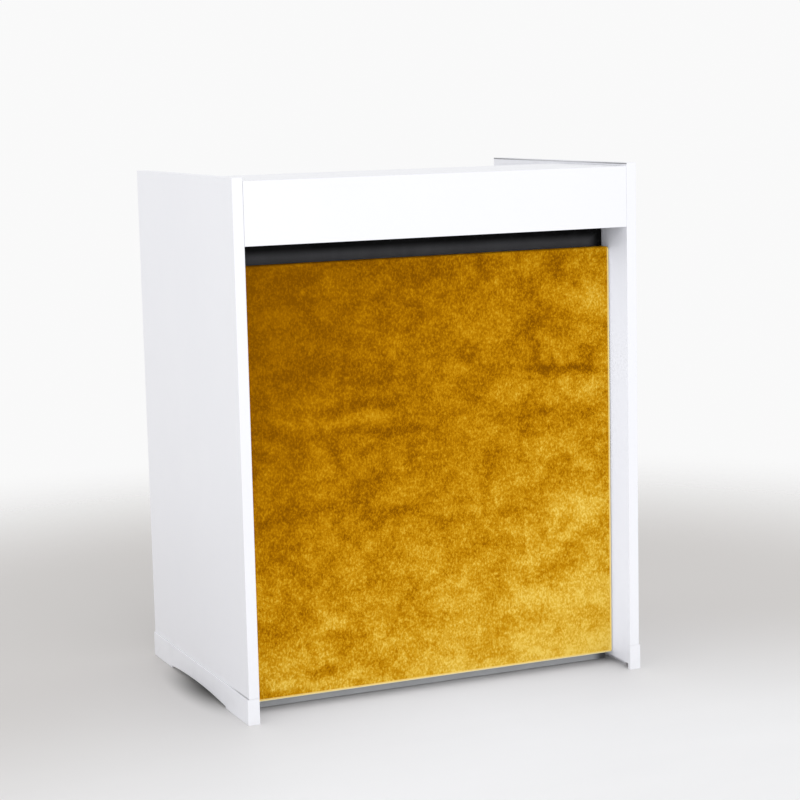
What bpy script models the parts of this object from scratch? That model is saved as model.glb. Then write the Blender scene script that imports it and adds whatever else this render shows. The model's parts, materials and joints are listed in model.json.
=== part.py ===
"""White event counter with a swap-in velvet front insert, for Blender 4.5.

Metres, +Z up. The origin is on the floor under the middle of the cabinet, the front
faces -Y and X runs across the counter. Depths called "from the front" are measured
back from the plane of the side panels' front edges.
"""

import math

import bmesh
import bpy
from mathutils import Matrix, Vector

# ------------------------------------------------------------------ driving dimensions
HEIGHT = 1.067
WIDTH = 0.876  # across the outer faces of the side panels
DEPTH = 0.610
PANEL = 0.022  # side panels, fascia, front rail and counter top
SHELF = 0.018
GAP = 0.0003  # between faces that touch
EDGE = 0.0009  # radius of the eased edges of painted boards
SPILL = 0.010  # how far a cutter runs on past the faces it opens

SKIRT_HEIGHT = 0.052
SKIRT_PROUD = 0.003
SKIRT_BOARD = 0.009
SKIRT_ARCH = (0.136, 0.488)  # from the front
SKIRT_STEP = 0.004
SKIRT_RISE = 0.0075
SKIRT_ROUND = 0.0011
PANEL_FOOT = 0.011  # height of a side panel's lower edge at its two ends
PANEL_RISE = 0.004

FASCIA_BOTTOM = 0.936
FASCIA_EDGE = 0.0005
FASCIA_SCREWS = (-0.300, 0.0, 0.300)
COUNTER_TOP = 1.060
COUNTER_DEPTH = 0.300
COUNTER_SIDE_GAP = 0.003
CLEAT = 0.025
COUNTER_CLEAT_DEPTHS = (0.050, 0.290)
SHELF_CLEAT_DEPTHS = (0.160, 0.590)
CLEAT_SCREW_INSET = 0.030
RAIL_HEIGHT = 0.045
RAIL_SCREW_RISE = 0.015
COUNTER_SCREWS = (-0.200, 0.200)

BACKING_FRONT = 0.105
BACKING = 0.016
BACKING_SIDE_GAP = 0.0015
BACKING_BOTTOM = 0.001
BACKING_TOP = 1.012
BATTEN = 0.030
BATTEN_BOTTOM = 0.030
BATTEN_SCREW_HEIGHTS = (0.160, 0.800)
BACKING_SCREW_HEIGHTS = (0.100, 0.860)
BACKING_SCREW_INSET = 0.018

INSERT_FRONT = 0.074
INSERT_BOTTOM = 0.022
INSERT_TOP = 0.892
INSERT_HALF_WIDTH = 0.4152
INSERT_BOARD = 0.022
INSERT_ROUND = 0.003
VELVET = 0.0017
VELVET_LIP = 0.036
TAPE = 0.003
TAPE_WIDTH = 0.050
TAPE_MIDDLE = 0.300
TAPE_HEIGHTS = (0.100, 0.810)

WORK_SHELF_TOP = 0.898
WORK_SHELF_BACK = 0.602
STORAGE_SHELF_TOP = 0.458
STORAGE_SHELF_DEPTHS = (0.152, 0.592)
STORAGE_SHELF_SIDE_GAP = 0.0015
PIN_RADIUS = 0.0024
PIN_LENGTH = 0.020
PIN_COLUMNS = (0.205, 0.540)
PIN_PITCH = 0.032
PIN_ROWS = (-2, -1, 0, 1, 2)  # the shelf lies on row 0
PIN_HOLE = 0.011
PIN_END_GAP = 0.001

REAR_RAIL_DEPTHS = (0.560, 0.578)
REAR_RAIL_HEIGHTS = (0.060, 0.140)
BRACKET = 0.002
BRACKET_LEG = 0.030
BRACKET_WIDTH = 0.016
BRACKET_HOLE = 0.0186  # from the bend to the middle of each hole
GLIDE_RADIUS = 0.006
GLIDE_FOOT_RADIUS = 0.0048
GLIDE_HEIGHT = 0.0111
GLIDE_INSET = 0.022

SCREW_RADIUS = 0.0019
SCREW_HEAD_RADIUS = 0.0045
SCREW_CROWN_RADIUS = 0.0027
SCREW_HEAD = 0.0022
SCREW_RIM = 0.0009
SCREW_BITE = 0.011  # how far a screw runs into the second piece
BORE_SPILL = 0.001

OUTER = WIDTH / 2
INNER = OUTER - PANEL
COUNTER_UNDERSIDE = COUNTER_TOP - PANEL
INSERT_BACK = INSERT_FRONT + VELVET + GAP + INSERT_BOARD
PIN_HEIGHT = STORAGE_SHELF_TOP - SHELF - GAP - PIN_RADIUS
SIDES = (("left", -1), ("right", 1))


def from_front(depth):
    """World Y of a depth measured back from the plane of the front edges."""
    return depth - DEPTH / 2


# --------------------------------------------------------------------------- materials
def material(name, colour, roughness, metallic=0.0):
    made = bpy.data.materials.new(name)
    made.use_nodes = True
    shader = made.node_tree.nodes["Principled BSDF"]
    shader.inputs["Base Color"].default_value = (*colour, 1.0)
    shader.inputs["Roughness"].default_value = roughness
    shader.inputs["Metallic"].default_value = metallic
    return made


def white_lacquer(name):
    return material(name, (0.86, 0.87, 0.89), 0.38)


def charcoal_lacquer(name):
    return material(name, (0.045, 0.045, 0.050), 0.75)


def zinc(name):
    return material(name, (0.62, 0.62, 0.64), 0.35, 1.0)


# ----------------------------------------------------------------------- mesh building
def add_object(name, shape, finish=None):
    mesh = bpy.data.meshes.new(name)
    bmesh.ops.recalc_face_normals(shape, faces=shape.faces)
    shape.to_mesh(mesh)
    shape.free()
    made = bpy.data.objects.new(name, mesh)
    bpy.context.scene.collection.objects.link(made)
    if finish is not None:
        mesh.materials.append(finish)
    return made


def add_box(shape, low, high):
    """Adds a box between two opposite corners, given in any order."""
    size = [abs(b - a) for a, b in zip(low, high)]
    middle = (Vector(low) + Vector(high)) / 2
    place = Matrix.Translation(middle) @ Matrix.Diagonal((*size, 1.0))
    bmesh.ops.create_cube(shape, size=1.0, matrix=place)


def add_cylinder(shape, start, direction, radius, length, sides=8, end_radius=None):
    """Adds a closed cylinder or cone that runs from start along direction."""
    along = Vector(direction).normalized()
    turn = Vector((0, 0, 1)).rotation_difference(along).to_matrix().to_4x4()
    middle = Vector(start) + along * length / 2
    bmesh.ops.create_cone(
        shape,
        cap_ends=True,
        segments=sides,
        radius1=radius,
        radius2=radius if end_radius is None else end_radius,
        depth=length,
        matrix=Matrix.Translation(middle) @ turn,
    )


def add_prism(shape, outline, travel):
    """Extrudes a closed outline of 3-D points along the vector travel."""
    face = shape.faces.new([shape.verts.new(point) for point in outline])
    made = bmesh.ops.extrude_face_region(shape, geom=[face])["geom"]
    far = [item for item in made if isinstance(item, bmesh.types.BMVert)]
    bmesh.ops.translate(shape, vec=travel, verts=far)


def ease_edges(made, width=EDGE, segments=2, chosen=False):
    """Rounds the sharp edges, or only the chosen ones, as sanding and paint leave them."""
    bevel = made.modifiers.new("eased edges", "BEVEL")
    bevel.width = width
    bevel.segments = segments
    bevel.limit_method = "WEIGHT" if chosen else "ANGLE"
    bevel.angle_limit = math.radians(40)


def choose_edges(shape, wanted):
    """Marks for rounding the edges whose two corners both pass the test wanted."""
    weight = shape.edges.layers.float.new("bevel_weight_edge")
    for edge in shape.edges:
        edge[weight] = float(wanted(*(corner.co for corner in edge.verts)))


def board(name, low, high, finish, edge=EDGE):
    shape = bmesh.new()
    add_box(shape, low, high)
    made = add_object(name, shape, finish)
    ease_edges(made, edge)
    return made


def cut(target, cutter):
    """Takes the cutter's shape away from the target."""
    cutter.hide_render = True
    cutter.display_type = "WIRE"
    boolean = target.modifiers.new("cut for " + cutter.name, "BOOLEAN")
    boolean.operation = "DIFFERENCE"
    boolean.solver = "EXACT"
    boolean.object = cutter


def add_loft(shape, rings):
    """Closed solid through rings of matching points, with flat ends."""
    loops = [[shape.verts.new(point) for point in ring] for ring in rings]
    for near, far in zip(loops, loops[1:]):
        for corner in range(len(near)):
            after = (corner + 1) % len(near)
            shape.faces.new((near[corner], near[after], far[after], far[corner]))
    shape.faces.new(loops[0])
    shape.faces.new(loops[-1])


def arch(y_start, y_end, foot, rise, steps):
    """Points (y, z) of a shallow arch that is highest half way between its feet."""
    half = (y_end - y_start) / 2
    points = []
    for step in range(steps + 1):
        along = -1 + 2 * step / steps
        points.append((y_start + half * (1 + along), foot + rise * (1 - along * along)))
    return points


# -------------------------------------------------------------------------- fasteners
def add_screw(shape, seat, direction, length, sides=8):
    """One pan-head screw: its head behind the seat and its shank in front of it."""
    drive = Vector(direction)
    across = drive.orthogonal().normalized()
    other = drive.cross(across)
    profile = (
        (SCREW_CROWN_RADIUS, -SCREW_HEAD),
        (SCREW_HEAD_RADIUS, -SCREW_RIM),
        (SCREW_HEAD_RADIUS, 0.0),
        (SCREW_RADIUS, 0.0),
        (SCREW_RADIUS, length),
    )
    rings = []
    for radius, depth in profile:
        centre = Vector(seat) + drive * (depth - GAP)
        ring = []
        for corner in range(sides):
            angle = 2 * math.pi * corner / sides
            spoke = across * math.cos(angle) + other * math.sin(angle)
            ring.append(centre + spoke * radius)
        rings.append(ring)
    add_loft(shape, rings)


def screws(name, seats, targets):
    """Numbered screws, given as (seat, direction, length), and their clearance bores."""
    bores = bmesh.new()
    for number, (seat, direction, length) in enumerate(seats, start=1):
        turned = bmesh.new()
        add_screw(turned, seat, direction, length)
        add_object(f"{name}_{number}", turned, zinc(name))
        mouth = Vector(seat) - Vector(direction) * BORE_SPILL
        add_cylinder(bores, mouth, direction, SCREW_RADIUS + 2 * GAP, length + 2 * BORE_SPILL)
    cutter = add_object("bores for " + name, bores)
    for target in targets:
        cut(target, cutter)


# ------------------------------------------------------------------------ side panels
def skirt_plan(side, clearance=0.0, spill=0.0):
    """Plan of a skirt as (x, y) points: a long board with a short return at each end.

    clearance grows it towards the panel, and spill grows it away from the panel.
    """
    proud = side * (OUTER + SKIRT_PROUD + spill)
    back_of_board = side * (OUTER + SKIRT_PROUD - SKIRT_BOARD - clearance)
    inner = side * (INNER - spill)
    front = from_front(-spill)
    back = from_front(DEPTH + spill)
    front_return = from_front(SKIRT_BOARD + clearance)
    back_return = from_front(DEPTH - SKIRT_BOARD - clearance)
    return (
        (proud, front),
        (proud, back),
        (inner, back),
        (inner, back_return),
        (back_of_board, back_return),
        (back_of_board, front_return),
        (inner, front_return),
        (inner, front),
    )


def pin_holes(side_name, side):
    """Cutter for the blind holes of the shelf pins in one side panel."""
    holes = bmesh.new()
    for column in PIN_COLUMNS:
        for row in PIN_ROWS:
            height = PIN_HEIGHT + row * PIN_PITCH
            mouth = (side * (INNER - BORE_SPILL), from_front(column), height)
            add_cylinder(holes, mouth, (side, 0, 0), PIN_RADIUS + GAP, PIN_HOLE + BORE_SPILL)
    return add_object("pin holes " + side_name, holes)


def side_panel(side_name, side):
    """Upright board, rebated at the foot for its skirt, with an arched lower edge.

    It is eased before the rebate is cut, so that the joint with the skirt stays tight.
    """
    name = "side_panel_" + side_name
    front, back = from_front(0), from_front(DEPTH)
    outline = [(front, HEIGHT), (back, HEIGHT)]
    outline += arch(front, back, PANEL_FOOT, PANEL_RISE, 12)[::-1]
    shape = bmesh.new()
    add_prism(shape, [(side * INNER, y, z) for y, z in outline], (side * PANEL, 0, 0))
    panel = add_object(name, shape, white_lacquer(name))
    ease_edges(panel)
    room = bmesh.new()
    plan = skirt_plan(side, clearance=GAP, spill=SPILL)
    add_prism(room, [(x, y, -SPILL) for x, y in plan], (0, 0, SKIRT_HEIGHT + GAP + SPILL))
    cut(panel, add_object("room for skirt " + side_name, room))
    cut(panel, pin_holes(side_name, side))
    return panel


def arch_rings(side):
    """Rings of the arch's cutter, which flares where it leaves the outer face."""
    start, end = (from_front(depth) for depth in SKIRT_ARCH)
    face = OUTER + SKIRT_PROUD
    stations = [(INNER - SPILL, 0.0)]
    for step in range(4):
        angle = math.radians(30 * step)
        flare = SKIRT_ROUND * (1 - math.cos(angle))
        stations.append((face - SKIRT_ROUND * (1 - math.sin(angle)), flare))
    stations.append((face + SPILL, SKIRT_ROUND))
    rings = []
    for x, flare in stations:
        curve = arch(start - flare, end + flare, SKIRT_STEP + flare, SKIRT_RISE, 12)
        outline = [(start - flare, -SPILL), *curve, (end + flare, -SPILL)]
        rings.append([(side * x, y, z) for y, z in outline])
    return rings


def base_skirt(side_name, side):
    """Foot moulding that wraps the panel's foot, arched along the floor."""
    name = "base_skirt_" + side_name
    shape = bmesh.new()
    add_prism(shape, [(x, y, 0) for x, y in skirt_plan(side)], (0, 0, SKIRT_HEIGHT))

    def outside(one, two):
        upright = abs(one.z - two.z) > SKIRT_HEIGHT / 2
        at_end = abs(one.y) > from_front(DEPTH) - GAP
        proud = min(abs(one.x), abs(two.x)) > OUTER
        return proud or (upright and at_end)

    choose_edges(shape, outside)
    skirt = add_object(name, shape, white_lacquer(name))
    ease_edges(skirt, SKIRT_ROUND, 3, chosen=True)
    opening = bmesh.new()
    add_loft(opening, arch_rings(side))
    cut(skirt, add_object("arch " + side_name, opening))


def foot_glides():
    """Nylon nail-on glides under the lower edge of each side panel."""
    middle = (INNER + OUTER + SKIRT_PROUD - SKIRT_BOARD) / 2
    for side_name, side in SIDES:
        for end, depth in (("front", GLIDE_INSET), ("rear", DEPTH - GLIDE_INSET)):
            shape = bmesh.new()
            foot = (side * middle, from_front(depth), 0)
            radii = {"radius": GLIDE_FOOT_RADIUS, "end_radius": GLIDE_RADIUS}
            add_cylinder(shape, foot, (0, 0, 1), length=GLIDE_HEIGHT, sides=12, **radii)
            nylon = material("nylon", (0.10, 0.09, 0.10), 0.5)
            add_object(f"glide_{end}_{side_name}", shape, nylon)


# ------------------------------------------------------------------- front and counter
def fascia():
    half = INNER - GAP
    low = (-half, from_front(0), FASCIA_BOTTOM)
    high = (half, from_front(PANEL), COUNTER_TOP)
    return board("fascia", low, high, white_lacquer("fascia"), FASCIA_EDGE)


def counter_top():
    half = INNER - COUNTER_SIDE_GAP
    low = (-half, from_front(PANEL + GAP), COUNTER_UNDERSIDE)
    high = (half, from_front(COUNTER_DEPTH), COUNTER_TOP)
    return board("counter_top", low, high, white_lacquer("counter_top"))


def front_rail():
    """Rail behind the fascia and under the counter's front edge."""
    half = INNER - GAP
    top = COUNTER_UNDERSIDE - GAP
    low = (-half, from_front(PANEL + GAP), top - RAIL_HEIGHT)
    high = (half, from_front(2 * PANEL + GAP), top)
    return board("front_rail", low, high, white_lacquer("front_rail"))


def cleat(name, side, top, depths, finish):
    """Square bar along the inner face of a side panel that carries a board."""
    low = (side * (INNER - GAP), from_front(depths[0]), top - CLEAT)
    high = (side * (INNER - GAP - CLEAT), from_front(depths[1]), top)
    return board(name, low, high, finish)


# ------------------------------------------------------------------- backing and insert
def backing_panel():
    half = INNER - BACKING_SIDE_GAP
    low = (-half, from_front(BACKING_FRONT), BACKING_BOTTOM)
    high = (half, from_front(BACKING_FRONT + BACKING), BACKING_TOP)
    return board("backing_panel", low, high, charcoal_lacquer("backing_panel"))


def backing_batten(side_name, side):
    """Upright bar behind each end of the backing panel."""
    front = BACKING_FRONT + BACKING + GAP
    name = "backing_batten_" + side_name
    low = (side * (INNER - GAP), from_front(front), BATTEN_BOTTOM)
    high = (side * (INNER - GAP - BATTEN), from_front(front + BATTEN), BACKING_TOP)
    return board(name, low, high, charcoal_lacquer(name))


def tape_strips(name, depths, colour):
    """Two upright strips that are one half of the hook-and-loop fastening."""
    y_low, y_high = (from_front(depth) for depth in depths)
    for side_name, side in SIDES:
        shape = bmesh.new()
        near = side * (TAPE_MIDDLE - TAPE_WIDTH / 2)
        far = side * (TAPE_MIDDLE + TAPE_WIDTH / 2)
        add_box(shape, (near, y_low, TAPE_HEIGHTS[0]), (far, y_high, TAPE_HEIGHTS[1]))
        add_object(f"{name}_{side_name}", shape, material(name, colour, 0.9))


def insert_board():
    """Stiff board inside the velvet."""
    inset = VELVET + GAP
    half = INSERT_HALF_WIDTH - inset
    low = (-half, from_front(INSERT_BACK - INSERT_BOARD), INSERT_BOTTOM + inset)
    high = (half, from_front(INSERT_BACK), INSERT_TOP - inset)
    raw = material("insert_board", (0.42, 0.31, 0.20), 0.8)
    return board("insert_board", low, high, raw)


def velvet_cover():
    """Velvet over the face and edges of the board, folded on to its back as a lip."""
    half = INSERT_HALF_WIDTH
    back = INSERT_BACK + GAP + VELVET
    shape = bmesh.new()
    low = (-half, from_front(INSERT_FRONT), INSERT_BOTTOM)
    high = (half, from_front(back), INSERT_TOP)
    add_box(shape, low, high)
    cover = add_object("velvet_cover", shape, material("velvet_cover", (0.48, 0.25, 0.01), 0.9))
    ease_edges(cover, INSERT_ROUND, 3)
    inside = bmesh.new()
    low = (-half + VELVET, from_front(INSERT_FRONT + VELVET), INSERT_BOTTOM + VELVET)
    high = (half - VELVET, from_front(INSERT_BACK + GAP), INSERT_TOP - VELVET)
    add_box(inside, low, high)
    cut(cover, add_object("inside of cover", inside))
    window = bmesh.new()
    low = (-half + VELVET_LIP, from_front(INSERT_BACK - SPILL), INSERT_BOTTOM + VELVET_LIP)
    high = (half - VELVET_LIP, from_front(back + SPILL), INSERT_TOP - VELVET_LIP)
    add_box(window, low, high)
    cut(cover, add_object("window in cover", window))


# --------------------------------------------------------------------- shelves and rail
def work_shelf():
    """Fixed shelf behind the backing panel, below the level of the counter."""
    half = INNER - GAP
    start = BACKING_FRONT + BACKING + BATTEN + 2 * GAP
    low = (-half, from_front(start), WORK_SHELF_TOP - SHELF)
    high = (half, from_front(WORK_SHELF_BACK), WORK_SHELF_TOP)
    return board("work_shelf", low, high, white_lacquer("work_shelf"))


def storage_shelf():
    """Loose shelf that lies on four pins."""
    half = INNER - STORAGE_SHELF_SIDE_GAP
    low = (-half, from_front(STORAGE_SHELF_DEPTHS[0]), STORAGE_SHELF_TOP - SHELF)
    high = (half, from_front(STORAGE_SHELF_DEPTHS[1]), STORAGE_SHELF_TOP)
    return board("storage_shelf", low, high, white_lacquer("storage_shelf"))


def shelf_pins():
    """Steel pins, two a side, that stand in the middle row of holes."""
    for side_name, side in SIDES:
        for place, column in zip(("front", "rear"), PIN_COLUMNS):
            shape = bmesh.new()
            end = (side * (INNER + PIN_HOLE - PIN_END_GAP), from_front(column), PIN_HEIGHT)
            add_cylinder(shape, end, (-side, 0, 0), PIN_RADIUS, PIN_LENGTH)
            add_object(f"shelf_pin_{place}_{side_name}", shape, zinc("shelf pin"))


def rear_rail():
    """Rail low down at the back that ties the two side panels together."""
    half = INNER - GAP
    low = (-half, from_front(REAR_RAIL_DEPTHS[0]), REAR_RAIL_HEIGHTS[0])
    high = (half, from_front(REAR_RAIL_DEPTHS[1]), REAR_RAIL_HEIGHTS[1])
    return board("rear_rail", low, high, white_lacquer("rear_rail"))


def corner_bracket(side_name, side):
    """Steel angle that holds an end of the rear rail to a side panel."""
    wall = side * (INNER - GAP)
    rail = from_front(REAR_RAIL_DEPTHS[0] - GAP)
    plan = (
        (wall, rail),
        (wall, rail - BRACKET_LEG),
        (wall - side * BRACKET, rail - BRACKET_LEG),
        (wall - side * BRACKET, rail - BRACKET),
        (wall - side * BRACKET_LEG, rail - BRACKET),
        (wall - side * BRACKET_LEG, rail),
    )
    shape = bmesh.new()
    bottom = sum(REAR_RAIL_HEIGHTS) / 2 - BRACKET_WIDTH / 2
    add_prism(shape, [(x, y, bottom) for x, y in plan], (0, 0, BRACKET_WIDTH))
    name = "corner_bracket_" + side_name
    return add_object(name, shape, zinc(name))


# --------------------------------------------------------------------------- assembly
def side_screws(side, heights, depths, bar):
    """Screws that run level through a bar of the given thickness into a side panel."""
    seat_x = side * (INNER - GAP - bar)
    length = bar + GAP + SCREW_BITE
    seats = []
    for depth in depths:
        for height in heights:
            seats.append(((seat_x, from_front(depth), height), (side, 0, 0), length))
    return seats


def bracket_seats(side):
    """One screw out through a bracket into the side panel, and one back into the rail."""
    wall = side * (INNER - GAP)
    rail = from_front(REAR_RAIL_DEPTHS[0] - GAP)
    middle = sum(REAR_RAIL_HEIGHTS) / 2
    length = BRACKET + GAP + SCREW_BITE
    return [
        ((wall - side * BRACKET, rail - BRACKET_HOLE, middle), (side, 0, 0), length),
        ((wall - side * BRACKET_HOLE, rail - BRACKET, middle), (0, 1, 0), length),
    ]


def cleats_and_screws(panels):
    """Bars under the counter top and the work shelf, screwed to the side panels."""
    bars, seats = [], []
    counter_cleat_top = COUNTER_UNDERSIDE - GAP
    shelf_cleat_top = WORK_SHELF_TOP - SHELF - GAP
    for side_name, side in SIDES:
        for name, top, depths in (
            ("counter_cleat_", counter_cleat_top, COUNTER_CLEAT_DEPTHS),
            ("shelf_cleat_", shelf_cleat_top, SHELF_CLEAT_DEPTHS),
        ):
            bars.append(cleat(name + side_name, side, top, depths, white_lacquer(name)))
            screwed_at = (depths[0] + CLEAT_SCREW_INSET, depths[1] - CLEAT_SCREW_INSET)
            seats += side_screws(side, (top - CLEAT / 2,), screwed_at, CLEAT)
    screws("cleat_screw", seats, bars + panels)


def backing_and_battens(panels):
    """Backing panel, screwed from behind to two battens on the side panels."""
    backing = backing_panel()
    battens, side_seats, back_seats = [], [], []
    batten_back = BACKING_FRONT + BACKING + GAP + BATTEN
    for side_name, side in SIDES:
        battens.append(backing_batten(side_name, side))
        batten_middle = (batten_back - BATTEN / 2,)
        side_seats += side_screws(side, BATTEN_SCREW_HEIGHTS, batten_middle, BATTEN)
        seat_x = side * (INNER - GAP - BACKING_SCREW_INSET)
        for height in BACKING_SCREW_HEIGHTS:
            seat = (seat_x, from_front(batten_back), height)
            back_seats.append((seat, (0, -1, 0), BATTEN + GAP + SCREW_BITE))
    screws("batten_screw", side_seats, battens + panels)
    screws("backing_screw", back_seats, battens + [backing])


def front_and_counter():
    """Fascia and counter top, both screwed to the rail in the corner between them."""
    face, counter, rail = fascia(), counter_top(), front_rail()
    rail_back = from_front(2 * PANEL + GAP)
    rail_middle = from_front(PANEL + GAP + PANEL / 2)
    rail_bottom = COUNTER_UNDERSIDE - GAP - RAIL_HEIGHT
    through_rail = PANEL + GAP + SCREW_BITE
    face_seats = []
    for x in FASCIA_SCREWS:
        seat = (x, rail_back, rail_bottom + RAIL_SCREW_RISE)
        face_seats.append((seat, (0, -1, 0), through_rail))
    up_through_rail = RAIL_HEIGHT + GAP + SCREW_BITE
    counter_seats = []
    for x in COUNTER_SCREWS:
        counter_seats.append(((x, rail_middle, rail_bottom), (0, 0, 1), up_through_rail))
    screws("fascia_screw", face_seats, [rail, face])
    screws("counter_screw", counter_seats, [rail, counter])


def insert_and_tapes():
    """The swap-in front insert and the two halves of its hook-and-loop fastening."""
    insert_board()
    velvet_cover()
    hooks = (INSERT_BACK + GAP, INSERT_BACK + GAP + TAPE)
    loops = (hooks[1] + GAP, BACKING_FRONT - GAP)
    tape_strips("hook_tape", hooks, (0.02, 0.02, 0.02))
    tape_strips("loop_tape", loops, (0.03, 0.03, 0.03))


def rear_rail_and_brackets(panels):
    rail = rear_rail()
    brackets, seats = [], []
    for side_name, side in SIDES:
        brackets.append(corner_bracket(side_name, side))
        seats += bracket_seats(side)
    screws("bracket_screw", seats, brackets + [rail] + panels)


def build():
    panels = [side_panel(side_name, side) for side_name, side in SIDES]
    for side_name, side in SIDES:
        base_skirt(side_name, side)
    foot_glides()
    front_and_counter()
    insert_and_tapes()
    cleats_and_screws(panels)
    backing_and_battens(panels)
    work_shelf()
    storage_shelf()
    shelf_pins()
    rear_rail_and_brackets(panels)


for leftover in list(bpy.data.objects):
    bpy.data.objects.remove(leftover)
build()
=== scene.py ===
import json
import math

import bmesh
import bpy
from mathutils import Matrix, Vector, noise

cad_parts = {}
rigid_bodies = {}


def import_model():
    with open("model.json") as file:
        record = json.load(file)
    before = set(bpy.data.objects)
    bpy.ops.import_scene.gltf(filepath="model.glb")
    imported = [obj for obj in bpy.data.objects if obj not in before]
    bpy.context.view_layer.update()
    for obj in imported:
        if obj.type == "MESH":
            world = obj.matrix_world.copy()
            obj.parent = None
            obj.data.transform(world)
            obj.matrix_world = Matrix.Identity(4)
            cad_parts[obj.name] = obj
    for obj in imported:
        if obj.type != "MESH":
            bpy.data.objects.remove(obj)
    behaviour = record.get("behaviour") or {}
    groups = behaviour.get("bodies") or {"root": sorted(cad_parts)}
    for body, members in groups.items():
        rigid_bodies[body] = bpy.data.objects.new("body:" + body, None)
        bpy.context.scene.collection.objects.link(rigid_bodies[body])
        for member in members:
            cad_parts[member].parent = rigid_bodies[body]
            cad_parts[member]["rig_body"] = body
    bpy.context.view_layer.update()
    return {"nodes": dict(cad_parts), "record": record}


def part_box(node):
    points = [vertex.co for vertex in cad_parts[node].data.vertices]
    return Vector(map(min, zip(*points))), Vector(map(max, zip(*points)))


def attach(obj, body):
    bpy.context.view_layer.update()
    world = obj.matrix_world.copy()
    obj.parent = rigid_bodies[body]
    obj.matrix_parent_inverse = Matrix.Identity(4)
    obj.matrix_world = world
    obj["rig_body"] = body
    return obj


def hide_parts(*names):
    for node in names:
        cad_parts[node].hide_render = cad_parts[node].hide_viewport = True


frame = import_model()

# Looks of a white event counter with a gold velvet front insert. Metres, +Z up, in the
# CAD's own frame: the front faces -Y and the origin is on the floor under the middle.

NODES = frame["nodes"]
SLOTS = {part["node"]: part["material_slot"] for part in frame["record"]["subparts"]}

# ------------------------------------------------------------------------------ camera
CAMERA_PLACE = (-1.771, -4.108, 1.213)
CAMERA_YAW = 23.70  # degrees, to the right of straight ahead
CAMERA_PITCH = 8.16  # degrees, downwards
CAMERA_ROLL = -1.32  # degrees
CAMERA_LENS = 95.48  # millimetres
SENSOR_WIDTH = 36.0  # millimetres


def aim_camera():
    data = bpy.data.cameras.new("camera")
    data.sensor_width = SENSOR_WIDTH
    data.lens = CAMERA_LENS
    camera = bpy.data.objects.new("camera", data)
    bpy.context.scene.collection.objects.link(camera)
    turn = Matrix.Rotation(math.radians(-CAMERA_YAW), 4, "Z")
    tilt = Matrix.Rotation(math.radians(90 - CAMERA_PITCH), 4, "X")
    roll = Matrix.Rotation(math.radians(CAMERA_ROLL), 4, "Z")
    camera.matrix_world = Matrix.Translation(CAMERA_PLACE) @ turn @ tilt @ roll
    bpy.context.scene.camera = camera


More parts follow.
